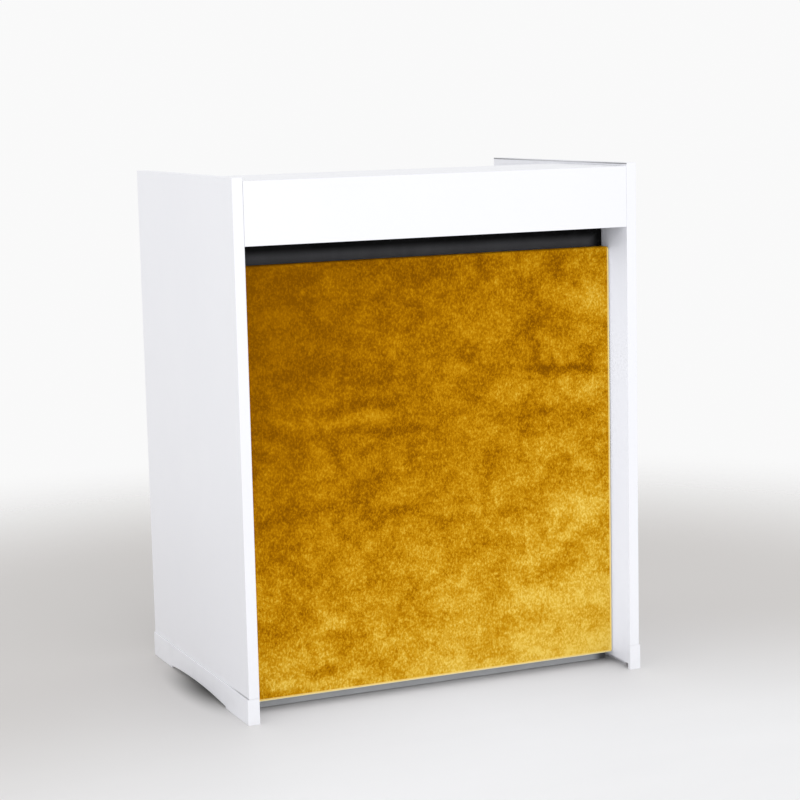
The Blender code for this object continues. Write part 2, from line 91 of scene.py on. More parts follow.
# ------------------------------------------------------------------------ node shorthand
class Graph:
    """One procedural material under construction. Lengths in it are metres."""

    def __init__(self, name):
        self.material = bpy.data.materials.new(name)
        self.material.use_nodes = True
        self.tree = self.material.node_tree
        self.shader = self.tree.nodes["Principled BSDF"]
        self.place = self.node("ShaderNodeTexCoord").outputs["Object"]
        axes = self.node("ShaderNodeSeparateXYZ", Vector=self.place).outputs
        self.x, self.y, self.z = axes[0], axes[1], axes[2]

    def node(self, kind, settings=None, **inputs):
        made = self.tree.nodes.new(kind)
        for key, value in (settings or {}).items():
            setattr(made, key, value)
        for key, value in inputs.items():
            self.feed(made.inputs[key.replace("_", " ")], value)
        return made

    def feed(self, socket, value):
        if isinstance(value, bpy.types.NodeSocket):
            self.tree.links.new(value, socket)
        elif isinstance(value, tuple) and socket.type == "RGBA":
            socket.default_value = (*value, 1.0)
        else:
            socket.default_value = value

    def maths(self, operation, *values):
        made = self.node("ShaderNodeMath", {"operation": operation})
        for socket, value in zip(made.inputs, values):
            self.feed(socket, value)
        return made.outputs[0]

    def noise(self, scale, detail=2.0, rough=0.5, stretch=None, bend=0.0):
        place = self.place
        if stretch:
            place = self.node("ShaderNodeMapping", Vector=place, Scale=stretch).outputs[0]
        made = self.node(
            "ShaderNodeTexNoise",
            Vector=place,
            Scale=scale,
            Detail=detail,
            Roughness=rough,
            Distortion=bend,
        )
        return made.outputs["Fac"]

    def share(self, value, start, end):
        """Rises in a straight line from 0, where value is start, to 1, where it is end."""
        made = self.node("ShaderNodeMapRange", Value=value)
        self.feed(made.inputs["From Min"], start)
        self.feed(made.inputs["From Max"], end)
        return made.outputs[0]

    def length(self, vector):
        made = self.node("ShaderNodeVectorMath", {"operation": "LENGTH"})
        self.feed(made.inputs[0], vector)
        return made.outputs["Value"]

    def smooth(self, value, start, end, low=0.0, high=1.0):
        """Rises smoothly from low, where value is start, to high, where it is end."""
        made = self.node("ShaderNodeMapRange", {"interpolation_type": "SMOOTHSTEP"})
        for name, number in (
            ("Value", value),
            ("From Min", start),
            ("From Max", end),
            ("To Min", low),
            ("To Max", high),
        ):
            self.feed(made.inputs[name], number)
        return made.outputs[0]

    def band(self, value, start, end, blur):
        """1 where value is between start and end, and 0 outside."""
        over = self.smooth(value, start - blur, start + blur)
        return self.maths("MULTIPLY", over, self.smooth(value, end + blur, end - blur))

    def mix(self, share, first, second):
        """Two colours mixed. Sockets 6 and 7 and output 2 are the node's colour ones."""
        made = self.node("ShaderNodeMix", {"data_type": "RGBA"})
        self.feed(made.inputs[0], share)
        self.feed(made.inputs[6], first)
        self.feed(made.inputs[7], second)
        return made.outputs[2]

    def ramp(self, value, stops):
        made = self.node("ShaderNodeValToRGB", Fac=value)
        points = made.color_ramp.elements
        while len(points) < len(stops):
            points.new(0.5)
        for point, (place, colour) in zip(points, stops):
            point.position = place
            point.color = (*colour, 1.0)
        return made.outputs["Color"]

    def edges(self, radius):
        """Near 1 along convex and concave edges, and 0 on flat faces."""
        soft = self.node("ShaderNodeBevel", {"samples": 4}, Radius=radius).outputs[0]
        true = self.node("ShaderNodeNewGeometry").outputs["True Normal"]
        dot = self.node("ShaderNodeVectorMath", {"operation": "DOT_PRODUCT"})
        self.feed(dot.inputs[0], soft)
        self.feed(dot.inputs[1], true)
        return self.smooth(dot.outputs["Value"], 0.995, 0.86)

    def relief(self, *layers):
        """Bump from (height socket, depth in metres) layers, coarse ones first."""
        normal = None
        for height, depth in layers:
            made = self.node("ShaderNodeBump", Height=height, Distance=depth, Strength=1.0)
            if normal is not None:
                self.feed(made.inputs["Normal"], normal)
            normal = made.outputs[0]
        self.feed(self.shader.inputs["Normal"], normal)

    def finish(self, colour, roughness, **plain):
        self.feed(self.shader.inputs["Base Color"], colour)
        self.feed(self.shader.inputs["Roughness"], roughness)
        for key, value in plain.items():
            self.feed(self.shader.inputs[key.replace("_", " ")], value)
        return self.material


# --------------------------------------------------------------------------- materials
WHITE_TONES = ((0.838, 0.845, 0.890), (0.872, 0.878, 0.918))
SCUFF_GREY = (0.42, 0.40, 0.38)
SCUFF_HEIGHT = 0.11  # above the floor
RUBBED_TONE = (0.62, 0.58, 0.52)
RUBBED_RADIUS = 0.0022  # of the edges that are rubbed
SHADOW_LINE_GREY = (0.10, 0.10, 0.11)
SHADOW_LINE_BELOW_TOP = (0.0006, 0.0034)  # painted shadow line under the top edge of a side panel's inner face
JOINT_GREY = (0.16, 0.15, 0.16)
JOINT_LENGTH = 0.130  # how far the joint over the foot moulding has opened, from the front
JOINT_HEIGHT = 0.0018


def white_lacquer(panel_low, panel_high, skirt_top):
    """Sprayed satin lacquer: orange peel, slow drift of tone, rubbed edges, floor scuffs.

    The inner faces of the side panels, whose box is given, get a painted shadow line along
    the top, and the joint over the foot mouldings has opened a little at the front.
    """
    g = Graph("white_lacquer")
    drift = g.noise(3.0, 2.0)
    smudge = g.noise(14.0, 6.0, 0.62, bend=0.4)
    fleck = g.noise(160.0, 3.0, 0.7)
    low = g.smooth(g.z, SCUFF_HEIGHT, 0.0)
    scuff = g.maths("MULTIPLY", low, g.smooth(smudge, 0.47, 0.70, 0.0, 0.09))
    rub = g.maths("MULTIPLY", g.edges(RUBBED_RADIUS), g.smooth(fleck, 0.42, 0.62, 0.0, 0.20))
    colour = g.mix(drift, *WHITE_TONES)
    colour = g.mix(scuff, colour, SCUFF_GREY)
    colour = g.mix(rub, colour, RUBBED_TONE)

    out = g.maths("ABSOLUTE", g.x)
    # Painted shadow: a dark line just under the top edge of each side panel's inner face,
    # stronger towards its ends.
    upper, lower = (panel_high.z - depth for depth in SHADOW_LINE_BELOW_TOP)
    line = g.band(g.z, lower, upper, 0.0005)
    inner = g.smooth(out, panel_low.x + 0.0008, panel_low.x + 0.0003)
    ends = g.smooth(g.maths("ABSOLUTE", g.y), 0.05, panel_high.y, 0.40, 0.80)
    shadow_line = g.maths("MULTIPLY", g.maths("MULTIPLY", line, inner), ends)
    colour = g.mix(shadow_line, colour, SHADOW_LINE_GREY)

    line = g.band(g.z, skirt_top, skirt_top + JOINT_HEIGHT, 0.0004)
    outer = g.smooth(out, panel_high.x - 0.0004, panel_high.x - 0.0001)
    front = g.smooth(g.y, panel_low.y + JOINT_LENGTH, panel_low.y + 0.04, 0.0, 0.6)
    opened = g.maths("MULTIPLY", g.maths("MULTIPLY", line, outer), front)
    colour = g.mix(opened, colour, JOINT_GREY)
    orange_peel, dimples = g.noise(28.0, 1.0), g.noise(310.0, 2.0)
    g.relief((orange_peel, 0.00012), (dimples, 0.000022))
    roughness = g.smooth(smudge, 0.30, 0.75, 0.30, 0.42)
    return g.finish(colour, roughness, Coat_Weight=0.12, Coat_Roughness=0.18)


CHARCOAL_TONES = ((0.044, 0.044, 0.047), (0.068, 0.068, 0.072))
TRACK_GREY = (0.076, 0.076, 0.080)
FLOOR_BAND_GREY = (0.43, 0.44, 0.455)
FLOOR_BAND_HEIGHTS = (0.050, 0.016)  # the board grows paler from the first height down to the second
BACK_FLOOR_BAND = 0.08  # the pale band near the floor on the other faces, as a share of the front face's
PAINTED_SHADE_BLACK = (0.0012, 0.0012, 0.0014)
FASCIA_SHADE_DISTANCES = (0.034, 0.015)  # distances from the fascia between which painted shade turns the board black
END_SHADE_DISTANCE = 0.008  # the second distance at the board's ends, for the same painted shade


def charcoal_lacquer(fascia_bottom, low, high):
    """Matt roller-painted board: fine stipple, faint upright roller tracks, paler near the
    floor.

    The front face of the backing panel, whose box is given, is paler towards the floor, and
    painted shade turns it near black close under the fascia and at both ends.
    """
    g = Graph("charcoal_lacquer")
    stipple = g.noise(520.0, 3.0, 0.6)
    tracks = g.noise(30.0, 3.0, 0.5, stretch=(1.0, 1.0, 0.06))
    patch = g.noise(9.0, 5.0, 0.6)
    colour = g.mix(stipple, *CHARCOAL_TONES)
    colour = g.mix(g.smooth(tracks, 0.4, 0.7, 0.0, 0.35), colour, TRACK_GREY)
    front = g.smooth(g.y, low.y + 0.004, low.y + 0.001)
    band_share = g.maths("MULTIPLY_ADD", front, 1 - BACK_FLOOR_BAND, BACK_FLOOR_BAND)
    # The board is paler towards the floor on its front face, and a little on the others.
    floor_band = g.maths("MULTIPLY", g.smooth(g.z, *FLOOR_BAND_HEIGHTS), g.smooth(patch, 0.1, 0.6, 0.8, 1.0))
    colour = g.mix(g.maths("MULTIPLY", floor_band, band_share), colour, FLOOR_BAND_GREY)
    # Painted shade: near black close under the fascia and at the board's ends, on its front
    # face.
    below = g.smooth(g.z, fascia_bottom - FASCIA_SHADE_DISTANCES[0], fascia_bottom - FASCIA_SHADE_DISTANCES[1])
    aside = g.smooth(g.maths("ABSOLUTE", g.x), high.x - FASCIA_SHADE_DISTANCES[0], high.x - END_SHADE_DISTANCE)
    aside = g.maths("MULTIPLY", aside, g.smooth(g.z, 0.05, 0.20, 0.80, 1.0))
    black = g.maths("MULTIPLY", g.maths("MAXIMUM", below, aside), front)
    colour = g.mix(black, colour, PAINTED_SHADE_BLACK)
    g.relief((tracks, 0.00006), (stipple, 0.00008))
    roughness = g.smooth(patch, 0.3, 0.7, 0.62, 0.80)
    return g.finish(colour, roughness, Specular_IOR_Level=0.1)


BOARD_TONES = ((0.27, 0.175, 0.10), (0.52, 0.38, 0.245))
BOARD_STAIN = (0.34, 0.235, 0.15)
ZINC_TONES = ((0.56, 0.585, 0.62), (0.70, 0.685, 0.64))
NYLON_TONES = ((0.26, 0.25, 0.26), (0.36, 0.35, 0.36))


def raw_board():
    """Raw fibreboard: mixed short fibres, brown, dull."""
    g = Graph("insert_board")
    fibre = g.noise(420.0, 5.0, 0.7, stretch=(1.0, 1.0, 0.35))
    patch = g.noise(12.0, 4.0, 0.6)
    colour = g.mix(fibre, *BOARD_TONES)
    colour = g.mix(g.smooth(patch, 0.35, 0.7, 0.0, 0.35), colour, BOARD_STAIN)
    g.relief((fibre, 0.00012))
    return g.finish(colour, g.smooth(fibre, 0.2, 0.8, 0.72, 0.92))


def zinc_steel():
    """Bright zinc plating: faint blue and straw tints, fine scratches."""
    g = Graph("zinc_steel")
    tint = g.noise(160.0, 3.0, 0.6)
    scratch = g.noise(900.0, 2.0, 0.5, stretch=(1.0, 0.12, 1.0))
    colour = g.mix(tint, *ZINC_TONES)
    g.relief((tint, 0.00002), (scratch, 0.00001))
    return g.finish(colour, g.smooth(scratch, 0.25, 0.75, 0.24, 0.42), Metallic=1.0)


def nylon():
    """Dark moulded nylon, scratched where it slides."""
    g = Graph("nylon")
    grain = g.noise(700.0, 3.0, 0.6)
    worn = g.smooth(g.noise(240.0, 4.0, 0.7, stretch=(0.2, 1.0, 1.0)), 0.5, 0.7)
    colour = g.mix(worn, *NYLON_TONES)
    g.relief((grain, 0.00004))
    return g.finish(colour, g.smooth(grain, 0.2, 0.8, 0.40, 0.58))


WAVE_AT_ONE_METRE = 0.314  # scale of a wave texture whose waves are a metre long
HOOK_TONES = ((0.006, 0.006, 0.007), (0.05, 0.05, 0.052))
HOOK_PITCH = 0.0016
LOOP_TONES = ((0.008, 0.008, 0.008), (0.06, 0.06, 0.06))
LOOP_PITCH = 0.0024


def tape(name, tones, pitch):
    """Black woven tape with rows of hooks or loops at the given pitch."""
    g = Graph(name)
    rows = g.node("ShaderNodeTexWave", {"bands_direction": "Z"}, Vector=g.place)
    g.feed(rows.inputs["Scale"], WAVE_AT_ONE_METRE / pitch)
    g.feed(rows.inputs["Distortion"], 0.6)
    fuzz = g.noise(1100.0, 4.0, 0.75)
    height = g.maths("MULTIPLY", rows.outputs["Fac"], fuzz)
    colour = g.mix(height, *tones)
    g.relief((rows.outputs["Fac"], 0.0003), (fuzz, 0.0003))
    return g.finish(colour, 0.9, Sheen_Weight=0.3, Sheen_Roughness=0.5)


# Crushed patches of the pile, as (across, up, half width, half height, turn in degrees,
# strength): the first four are shares of the insert's width and height.
CRUSH_MARKS = (
    (0.30, 0.668, 0.17, 0.016, 0, -0.17),
    (0.28, 0.635, 0.17, 0.020, 1, 0.24),
    (0.38, 0.600, 0.20, 0.018, -2, -0.16),
    (0.88, 0.713, 0.17, 0.013, -3, -0.26),
    (0.93, 0.672, 0.12, 0.030, 0, 0.20),
    (0.85, 0.617, 0.20, 0.015, 0, -0.18),
    (0.79, 0.780, 0.022, 0.20, 3, -0.14),
    (0.96, 0.900, 0.050, 0.10, 20, 0.19),
    (0.86, 0.950, 0.030, 0.06, 30, -0.18),
    (0.40, 0.790, 0.018, 0.035, 0, 0.20),
    (0.10, 0.035, 0.090, 0.020, 8, 0.20),
    (0.19, 0.048, 0.060, 0.017, -4, -0.34),
    (0.25, 0.165, 0.080, 0.020, 28, 0.18),
    (0.28, 0.130, 0.090, 0.016, 6, -0.20),
    (0.90, 0.360, 0.090, 0.070, 0, 0.14),
    (0.32, 0.410, 0.180, 0.050, 0, -0.10),
    (0.34, 0.335, 0.025, 0.025, 0, 0.14),
    (0.925, 0.060, 0.011, 0.024, 0, -0.24),
)

# The marks' outlines wander by these shares of the insert's width and height, and their
# soft edges reach past their half sizes by these factors.
WANDER = (0.16, 0.07)
MARK_REACH = (1.3, 1.5)

# Base tone of the pile: constant, rise across the insert, rise with the square of depth.
BASE_TONE = (0.043, 0.348, 0.523)
PILE_COLOURS = (  # by tone
    (0.00, (0.214, 0.077, 0.0004)),
    (0.15, (0.307, 0.117, 0.0006)),
    (0.37, (0.466, 0.201, 0.0018)),
    (0.57, (0.587, 0.297, 0.0083)),
    (0.82, (0.738, 0.456, 0.0478)),
    (1.00, (0.838, 0.587, 0.1100)),
)
# Painted highlights, as pale lines where the cloth turns over the board's edges: the
# distances in from the edge where each colour begins and is whole.
PAINTED_EDGE_HIGHLIGHTS = (
    (0.0062, 0.0038, (0.87, 0.65, 0.21)),
    (0.0027, 0.0010, (0.97, 0.91, 0.64)),
)
HIGHLIGHT_DEPTHS = (0.0024, 0.0010)  # behind the front face, where a painted highlight begins and is whole
BOUNCE = (0.92, 0.92, 0.93)  # colour of the velvet in the light that it throws back


def crush_marks(g, across, up):
    """Change of tone from all the crushed patches."""
    wander_x, wander_z = WANDER
    reach_x, reach_z = MARK_REACH
    wander = g.node("ShaderNodeTexNoise", Vector=g.place, Scale=9.0, Detail=4.0)
    shifted = g.node("ShaderNodeVectorMath", {"operation": "MULTIPLY_ADD"})
    flat = g.node("ShaderNodeCombineXYZ", X=across, Y=0.0, Z=up)
    g.feed(shifted.inputs[0], wander.outputs["Color"])
    g.feed(shifted.inputs[1], (wander_x, 0.0, wander_z))
    g.feed(shifted.inputs[2], flat.outputs[0])
    marks = 0.0
    for at_x, at_z, half_x, half_z, turn, strength in CRUSH_MARKS:
        # The noise is about a half on average, which the places make up for.
        patch = g.node("ShaderNodeMapping", {"vector_type": "TEXTURE"})
        g.feed(patch.inputs["Vector"], shifted.outputs[0])
        g.feed(patch.inputs["Location"], (at_x + wander_x / 2, 0.0, at_z + wander_z / 2))
        g.feed(patch.inputs["Rotation"], (0.0, -math.radians(turn), 0.0))
        g.feed(patch.inputs["Scale"], (half_x * reach_x, 1.0, half_z * reach_z))
        mark = g.smooth(g.length(patch.outputs[0]), 1.0, 0.0, 0.0, strength)
        marks = g.maths("ADD", marks, mark)
    return marks


def paint_edge_highlights(g, colour, low, high):
    """The colour with painted highlights beside the insert's ends and above its bottom edge."""
    beside = g.maths("SUBTRACT", high.x, g.maths("ABSOLUTE", g.x))
    inset = g.maths("MINIMUM", beside, g.maths("SUBTRACT", g.z, low.z))
    start, end = HIGHLIGHT_DEPTHS
    corner = g.smooth(g.y, low.y + start, low.y + end)
    for start, end, rim in PAINTED_EDGE_HIGHLIGHTS:
        share = g.maths("MULTIPLY", g.smooth(inset, start, end), corner)
        colour = g.mix(share, colour, rim)
    return colour


def gold_velvet(low, high):
    """Crushed velvet: the lean of the pile sets its tone, from a dark to a pale gold.

    The light that it throws on its neighbours is kept neutral, so that the white lacquer
    beside it stays white.
    """
    g = Graph("gold_velvet")
    across = g.share(g.x, low.x, high.x)
    up = g.share(g.z, low.z, high.z)
    start, rise_across, rise_down = BASE_TONE
    down = g.maths("SUBTRACT", 1.0, up)
    base = g.maths("MULTIPLY_ADD", across, rise_across, start)
    base = g.maths("MULTIPLY_ADD", g.maths("MULTIPLY", down, down), rise_down, base)

    # The relief of the pile shows most at middle tones, so each layer is strongest there.
    lively = g.maths("MULTIPLY", base, g.maths("SUBTRACT", 1.15, base))
    marks = crush_marks(g, across, up)
    tone = g.maths("MULTIPLY_ADD", marks, g.maths("MULTIPLY_ADD", lively, 1.9, 0.45), base)
    cloud = g.noise(13.0, 6.0, 0.62, stretch=(0.8, 1.0, 1.2), bend=0.5)
    mottle = g.noise(36.0, 4.0, 0.62, bend=0.4)
    grain = g.noise(120.0, 3.0, 0.72, bend=0.6)
    fleck = g.noise(250.0, 3.0, 0.62, stretch=(1.0, 1.0, 0.7))
    for layer, least, growth in (
        (g.smooth(cloud, 0.33, 0.67, -0.5, 0.5), 0.08, 0.62),
        (g.smooth(mottle, 0.33, 0.67, -0.5, 0.5), 0.05, 0.40),
        (g.smooth(grain, 0.33, 0.67, -0.5, 0.5), 0.03, 0.45),
        (g.smooth(fleck, 0.40, 0.70, -0.32, 0.68), 0.11, 0.65),
    ):
        strength = g.maths("MULTIPLY_ADD", lively, growth, least)
        tone = g.maths("MULTIPLY_ADD", layer, strength, tone)
    # Painted highlights: pale lines along the insert's ends and its bottom edge.
    colour = paint_edge_highlights(g, g.ramp(tone, PILE_COLOURS), low, high)
    path = g.node("ShaderNodeLightPath").outputs
    bounced = g.maths("MAXIMUM", path["Is Diffuse Ray"], path["Is Glossy Ray"])
    colour = g.mix(bounced, colour, BOUNCE)
    g.relief((cloud, 0.0016), (grain, 0.0006), (fleck, 0.0004))
    return g.finish(
        colour,
        g.smooth(grain, 0.2, 0.8, 0.78, 0.95),
        Sheen_Weight=0.04,
        Sheen_Roughness=0.45,
        Sheen_Tint=(1.0, 0.6, 0.08),
        Specular_IOR_Level=0.0,
    )


# --------------------------------------------------------------------- floor and light
WORLD_LIGHT = 0.95
FLOOR_RADIUS = 3.0
FLOOR_FADE = (1.2, 2.8)  # distances from the middle
FLOOR_LIT_TONES = ((0.83, 0.83, 0.84), (0.865, 0.865, 0.875))
FLOOR_DIM_TONE = (0.610, 0.590, 0.575)
FLOOR_LIGHT_FALLOFF = (-0.75, 0.45)  # from front to back: where the painted light of the lit tones falls off to the dim tone
SHADE_REACH = (0.062, 0.24)  # of the painted shade under the arched feet: outwards, and along them
SHADE_MIDDLE = -0.02
SHADE_STRENGTH = 0.72
FRONT_LIGHT = ((-0.6, -5.2, 1.5), 3.0, 53.0)  # place, diameter, power
SIDE_LIGHT = ((-4.6, -2.2, 1.8), 2.6, 12.0)
LIT_POINT = (0.0, 0.0, 0.5)


def studio():
    """A pale floor that fades out, an even white surround and soft lights in front."""
    scene = bpy.context.scene
    scene.view_settings.view_transform = "Standard"
    world = bpy.data.worlds.new("surround")
    scene.world = world
    world.use_nodes = True
    backdrop = world.node_tree.nodes["Background"]
    backdrop.inputs["Color"].default_value = (1.0, 1.0, 1.0, 1.0)
    backdrop.inputs["Strength"].default_value = WORLD_LIGHT

    shape = bmesh.new()
    bmesh.ops.create_circle(shape, cap_ends=True, segments=96, radius=FLOOR_RADIUS)
    mesh = bpy.data.meshes.new("floor")
    shape.to_mesh(mesh)
    shape.free()
    floor = bpy.data.objects.new("floor", mesh)
    scene.collection.objects.link(floor)
    mesh.materials.append(floor_finish())

    soft_light("front light", *FRONT_LIGHT)
    soft_light("side light", *SIDE_LIGHT)


def floor_finish():
    """Pale floor with painted light, brighter in front, and painted shade beside and under the
    arched feet.
    """
    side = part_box("base_skirt_right")[1].x
    g = Graph("floor")
    grain = g.noise(7.0, 4.0, 0.55, stretch=(0.25, 1.0, 1.0))
    # Painted light: the floor is painted brighter in front and dimmer towards the sides and
    # back.
    colour = g.mix(grain, *FLOOR_LIT_TONES)
    far = g.maths("MULTIPLY_ADD", g.maths("ABSOLUTE", g.x), 0.35, g.y)
    colour = g.mix(g.smooth(far, *FLOOR_LIGHT_FALLOFF), colour, FLOOR_DIM_TONE)
    # Painted shade on the floor beside and under the arched feet.
    outside = g.maths("SUBTRACT", g.maths("ABSOLUTE", g.x), side)
    outside = g.maths("DIVIDE", g.maths("MAXIMUM", outside, 0.0), SHADE_REACH[0])
    along = g.maths("DIVIDE", g.maths("SUBTRACT", g.y, SHADE_MIDDLE), SHADE_REACH[1])
    spot = g.node("ShaderNodeCombineXYZ", X=outside, Y=along)
    shade = g.smooth(g.length(spot.outputs[0]), 1.0, 0.0, 0.0, SHADE_STRENGTH)
    g.finish(g.mix(shade, colour, (0.0, 0.0, 0.0)), 0.55)

    clear = g.node("ShaderNodeBsdfTransparent")
    fade = g.node("ShaderNodeMixShader")
    g.feed(fade.inputs[0], g.smooth(g.length(g.place), *FLOOR_FADE))
    g.feed(fade.inputs[1], g.shader.outputs[0])
    g.feed(fade.inputs[2], clear.outputs[0])
    g.feed(g.tree.nodes["Material Output"].inputs["Surface"], fade.outputs[0])
    return g.material


def soft_light(name, place, size, power):
    data = bpy.data.lights.new(name, "AREA")
    data.shape = "DISK"
    data.size = size
    data.energy = power
    made = bpy.data.objects.new(name, data)
    bpy.context.scene.collection.objects.link(made)
    made.location = place
    aim = Vector(LIT_POINT) - Vector(place)
    made.rotation_euler = aim.to_track_quat("-Z", "Y").to_euler()


# ------------------------------------------------------------------------ mesh building
SHARP_EDGE = 38  # degrees: faces that meet at less are shaded as one surface


def new_piece(name, shape, finish, body, replaced=()):
    """Makes one piece of a bmesh that is already in place."""
    return place_piece(name, new_mesh(name, shape, finish), body, replaced)


def new_mesh(name, shape, finish):
    bmesh.ops.recalc_face_normals(shape, faces=shape.faces)
    mesh = bpy.data.meshes.new(name)
    shape.to_mesh(mesh)
    shape.free()
    mesh.shade_smooth()
    mesh.set_sharp_from_angle(angle=math.radians(SHARP_EDGE))
    mesh.materials.append(finish)
    return mesh


def place_piece(name, mesh, body, replaced=(), place=None):
    """Makes a piece of a finished mesh, in place, and says what it rides on."""
    made = bpy.data.objects.new(name, mesh)
    bpy.context.scene.collection.objects.link(made)
    if place is not None:
        made.matrix_world = place
    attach(made, body)
    if replaced:
        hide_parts(*replaced)
    return made


def body_of(node):
    return NODES[node]["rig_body"]


def circle(radius, angles, height):
    return [(radius * math.cos(a), radius * math.sin(a), height) for a in angles]


def skin(shape, rings):
    """Closed solid through rings of matching points, with an end cap at each end."""
    loops = [[shape.verts.new(point) for point in ring] for ring in rings]
    for near, far in zip(loops, loops[1:]):
        for i in range(len(near)):
            after = (i + 1) % len(near)
            shape.faces.new((near[i], near[after], far[after], far[i]))
    shape.faces.new(loops[0])
    shape.faces.new(loops[-1])


def turned(shape, profile, sides):
    """Solid of revolution about Z through (radius, height) points."""
    angles = [2 * math.pi * i / sides for i in range(sides)]
    skin(shape, [circle(radius, angles, height) for radius, height in profile])


def wire(shape, path, normal, radius, sides=8):
    """Round wire along a flat path, given with the normal of the path's plane."""
    angles = [2 * math.pi * k / sides for k in range(sides)]
    rings = []
    for i, point in enumerate(path):
        ahead = path[min(i + 1, len(path) - 1)] - path[max(i - 1, 0)]
        side = ahead.normalized().cross(normal)
        out = [normal * math.cos(a) + side * math.sin(a) for a in angles]
        rings.append([point + direction * radius for direction in out])
    skin(shape, rings)


def slab(shape, us, vs, front, back):
    """Closed solid between two sheets of points, front(u, v) and back(u, v)."""
    near = [[shape.verts.new(front(u, v)) for u in us] for v in vs]
    far = [[shape.verts.new(back(u, v)) for u in us] for v in vs]
    columns, rows = len(us) - 1, len(vs) - 1
    for sheet in (near, far):
        for j in range(rows):
            for i in range(columns):
                corners = (sheet[j][i], sheet[j][i + 1], sheet[j + 1][i + 1], sheet[j + 1][i])
                shape.faces.new(corners)
    edge = [(0, i) for i in range(columns)] + [(j, columns) for j in range(rows)]
    edge += [(rows, i) for i in range(columns, 0, -1)] + [(j, 0) for j in range(rows, 0, -1)]
    for (j, i), (b, a) in zip(edge, edge[1:] + edge[:1]):
        shape.faces.new((near[j][i], near[b][a], far[b][a], far[j][i]))


# ------------------------------------------------------------------------------ velvet
VELVET_PITCH = 0.005  # of the grid on its face
VELVET_CORNER = 0.006  # radius of the insert's corners, seen from the front
VELVET_FAN = 6  # steps round such a corner
VELVET_EDGE = 0.003  # radius of the fold over the board's edges
VELVET_BEND = 6  # steps round such a fold
VELVET_THICK = 0.0015
VELVET_LIP = 0.036  # width of the lip that is folded on to the board's back
LIP_STEPS = 7
LIP_WAVE = 0.0004


def crush(x, z):
    """Height of the cloth over its flat face: slow waves and short creases."""
    slow = noise.noise(Vector((x * 7.0, z * 9.0, 4.1)))
    crease = 1.0 - abs(noise.noise(Vector((x * 16.0, z * 34.0, 1.7)))) * 2.0
    grain = noise.noise(Vector((x * 120.0, z * 120.0, 8.3)))
    return 0.00035 * slow + 0.00025 * max(crease, 0.0) ** 3 + 0.00012 * grain


def velvet_profile(thickness):
    """(outset from the corner centres' rectangle, depth) from the face round to the lip."""
    flat = VELVET_CORNER - VELVET_EDGE
    rows = [(flat * share, 0.0) for share in (0.34, 0.67, 1.0)]
    bend = [math.pi / 2 * step / VELVET_BEND for step in range(1, VELVET_BEND + 1)]
    for turn in bend:
        depth = VELVET_EDGE * (1 - math.cos(turn))
        rows.append((flat + VELVET_EDGE * math.sin(turn), depth))
    side = thickness - 2 * VELVET_EDGE
    for step in range(1, 5):
        rows.append((VELVET_CORNER, VELVET_EDGE + side * step / 4))
    for turn in bend:
        depth = thickness - VELVET_EDGE * (1 - math.sin(turn))
        rows.append((flat + VELVET_EDGE * math.cos(turn), depth))
    for step in range(1, LIP_STEPS + 1):
        rows.append((flat - (VELVET_LIP - VELVET_EDGE) * step / LIP_STEPS, thickness))
    return rows


def velvet_face(shape, front, centres):
    """Grid of points over the flat face, inside the rectangle of the corner centres."""
    left, right, bottom, top = centres
    columns = round((right - left) / VELVET_PITCH)
    rows = round((top - bottom) / VELVET_PITCH)
    xs = [left + (right - left) * i / columns for i in range(columns + 1)]
    zs = [bottom + (top - bottom) * j / rows for j in range(rows + 1)]
    grid = [[shape.verts.new((x, front - crush(x, z), z)) for x in xs] for z in zs]
    for j in range(rows):
        for i in range(columns):
            corners = (grid[j][i], grid[j][i + 1], grid[j + 1][i + 1], grid[j + 1][i])
            shape.faces.new(corners)
    return grid


def walk_round(grid):
    """The grid's edge as (vertex, outward direction in degrees), with a fan at each corner."""
    sides = (
        (grid[0], -90),
        ([row[-1] for row in grid], 0),
        (grid[-1][::-1], 90),
        ([row[0] for row in grid[::-1]], 180),
    )
    around = []
    for line, facing in sides:
        around += [(vertex, facing) for vertex in line[:-1]]
        fan = [facing + 90 * step / VELVET_FAN for step in range(VELVET_FAN)]
        around += [(line[-1], turned_to) for turned_to in fan]
    return around


def ring_place(start, facing, outset, centres):
    """(x, z) on a ring: outwards by the outset, or inwards on the lip, square to the edge."""
    x, z = start.x, start.z
    if outset > 0:
        x += outset * math.cos(math.radians(facing))
        z += outset * math.sin(math.radians(facing))
        return x, z
    left, right, bottom, top = centres
    low_x, high_x = left - outset, right + outset
    low_z, high_z = bottom - outset, top + outset
    if facing % 90 == 0:
        side = round(facing / 90) % 4
        x = {0: high_x, 2: low_x}.get(side, x)
        z = {1: high_z, 3: low_z}.get(side, z)
    return min(max(x, low_x), high_x), min(max(z, low_z), high_z)


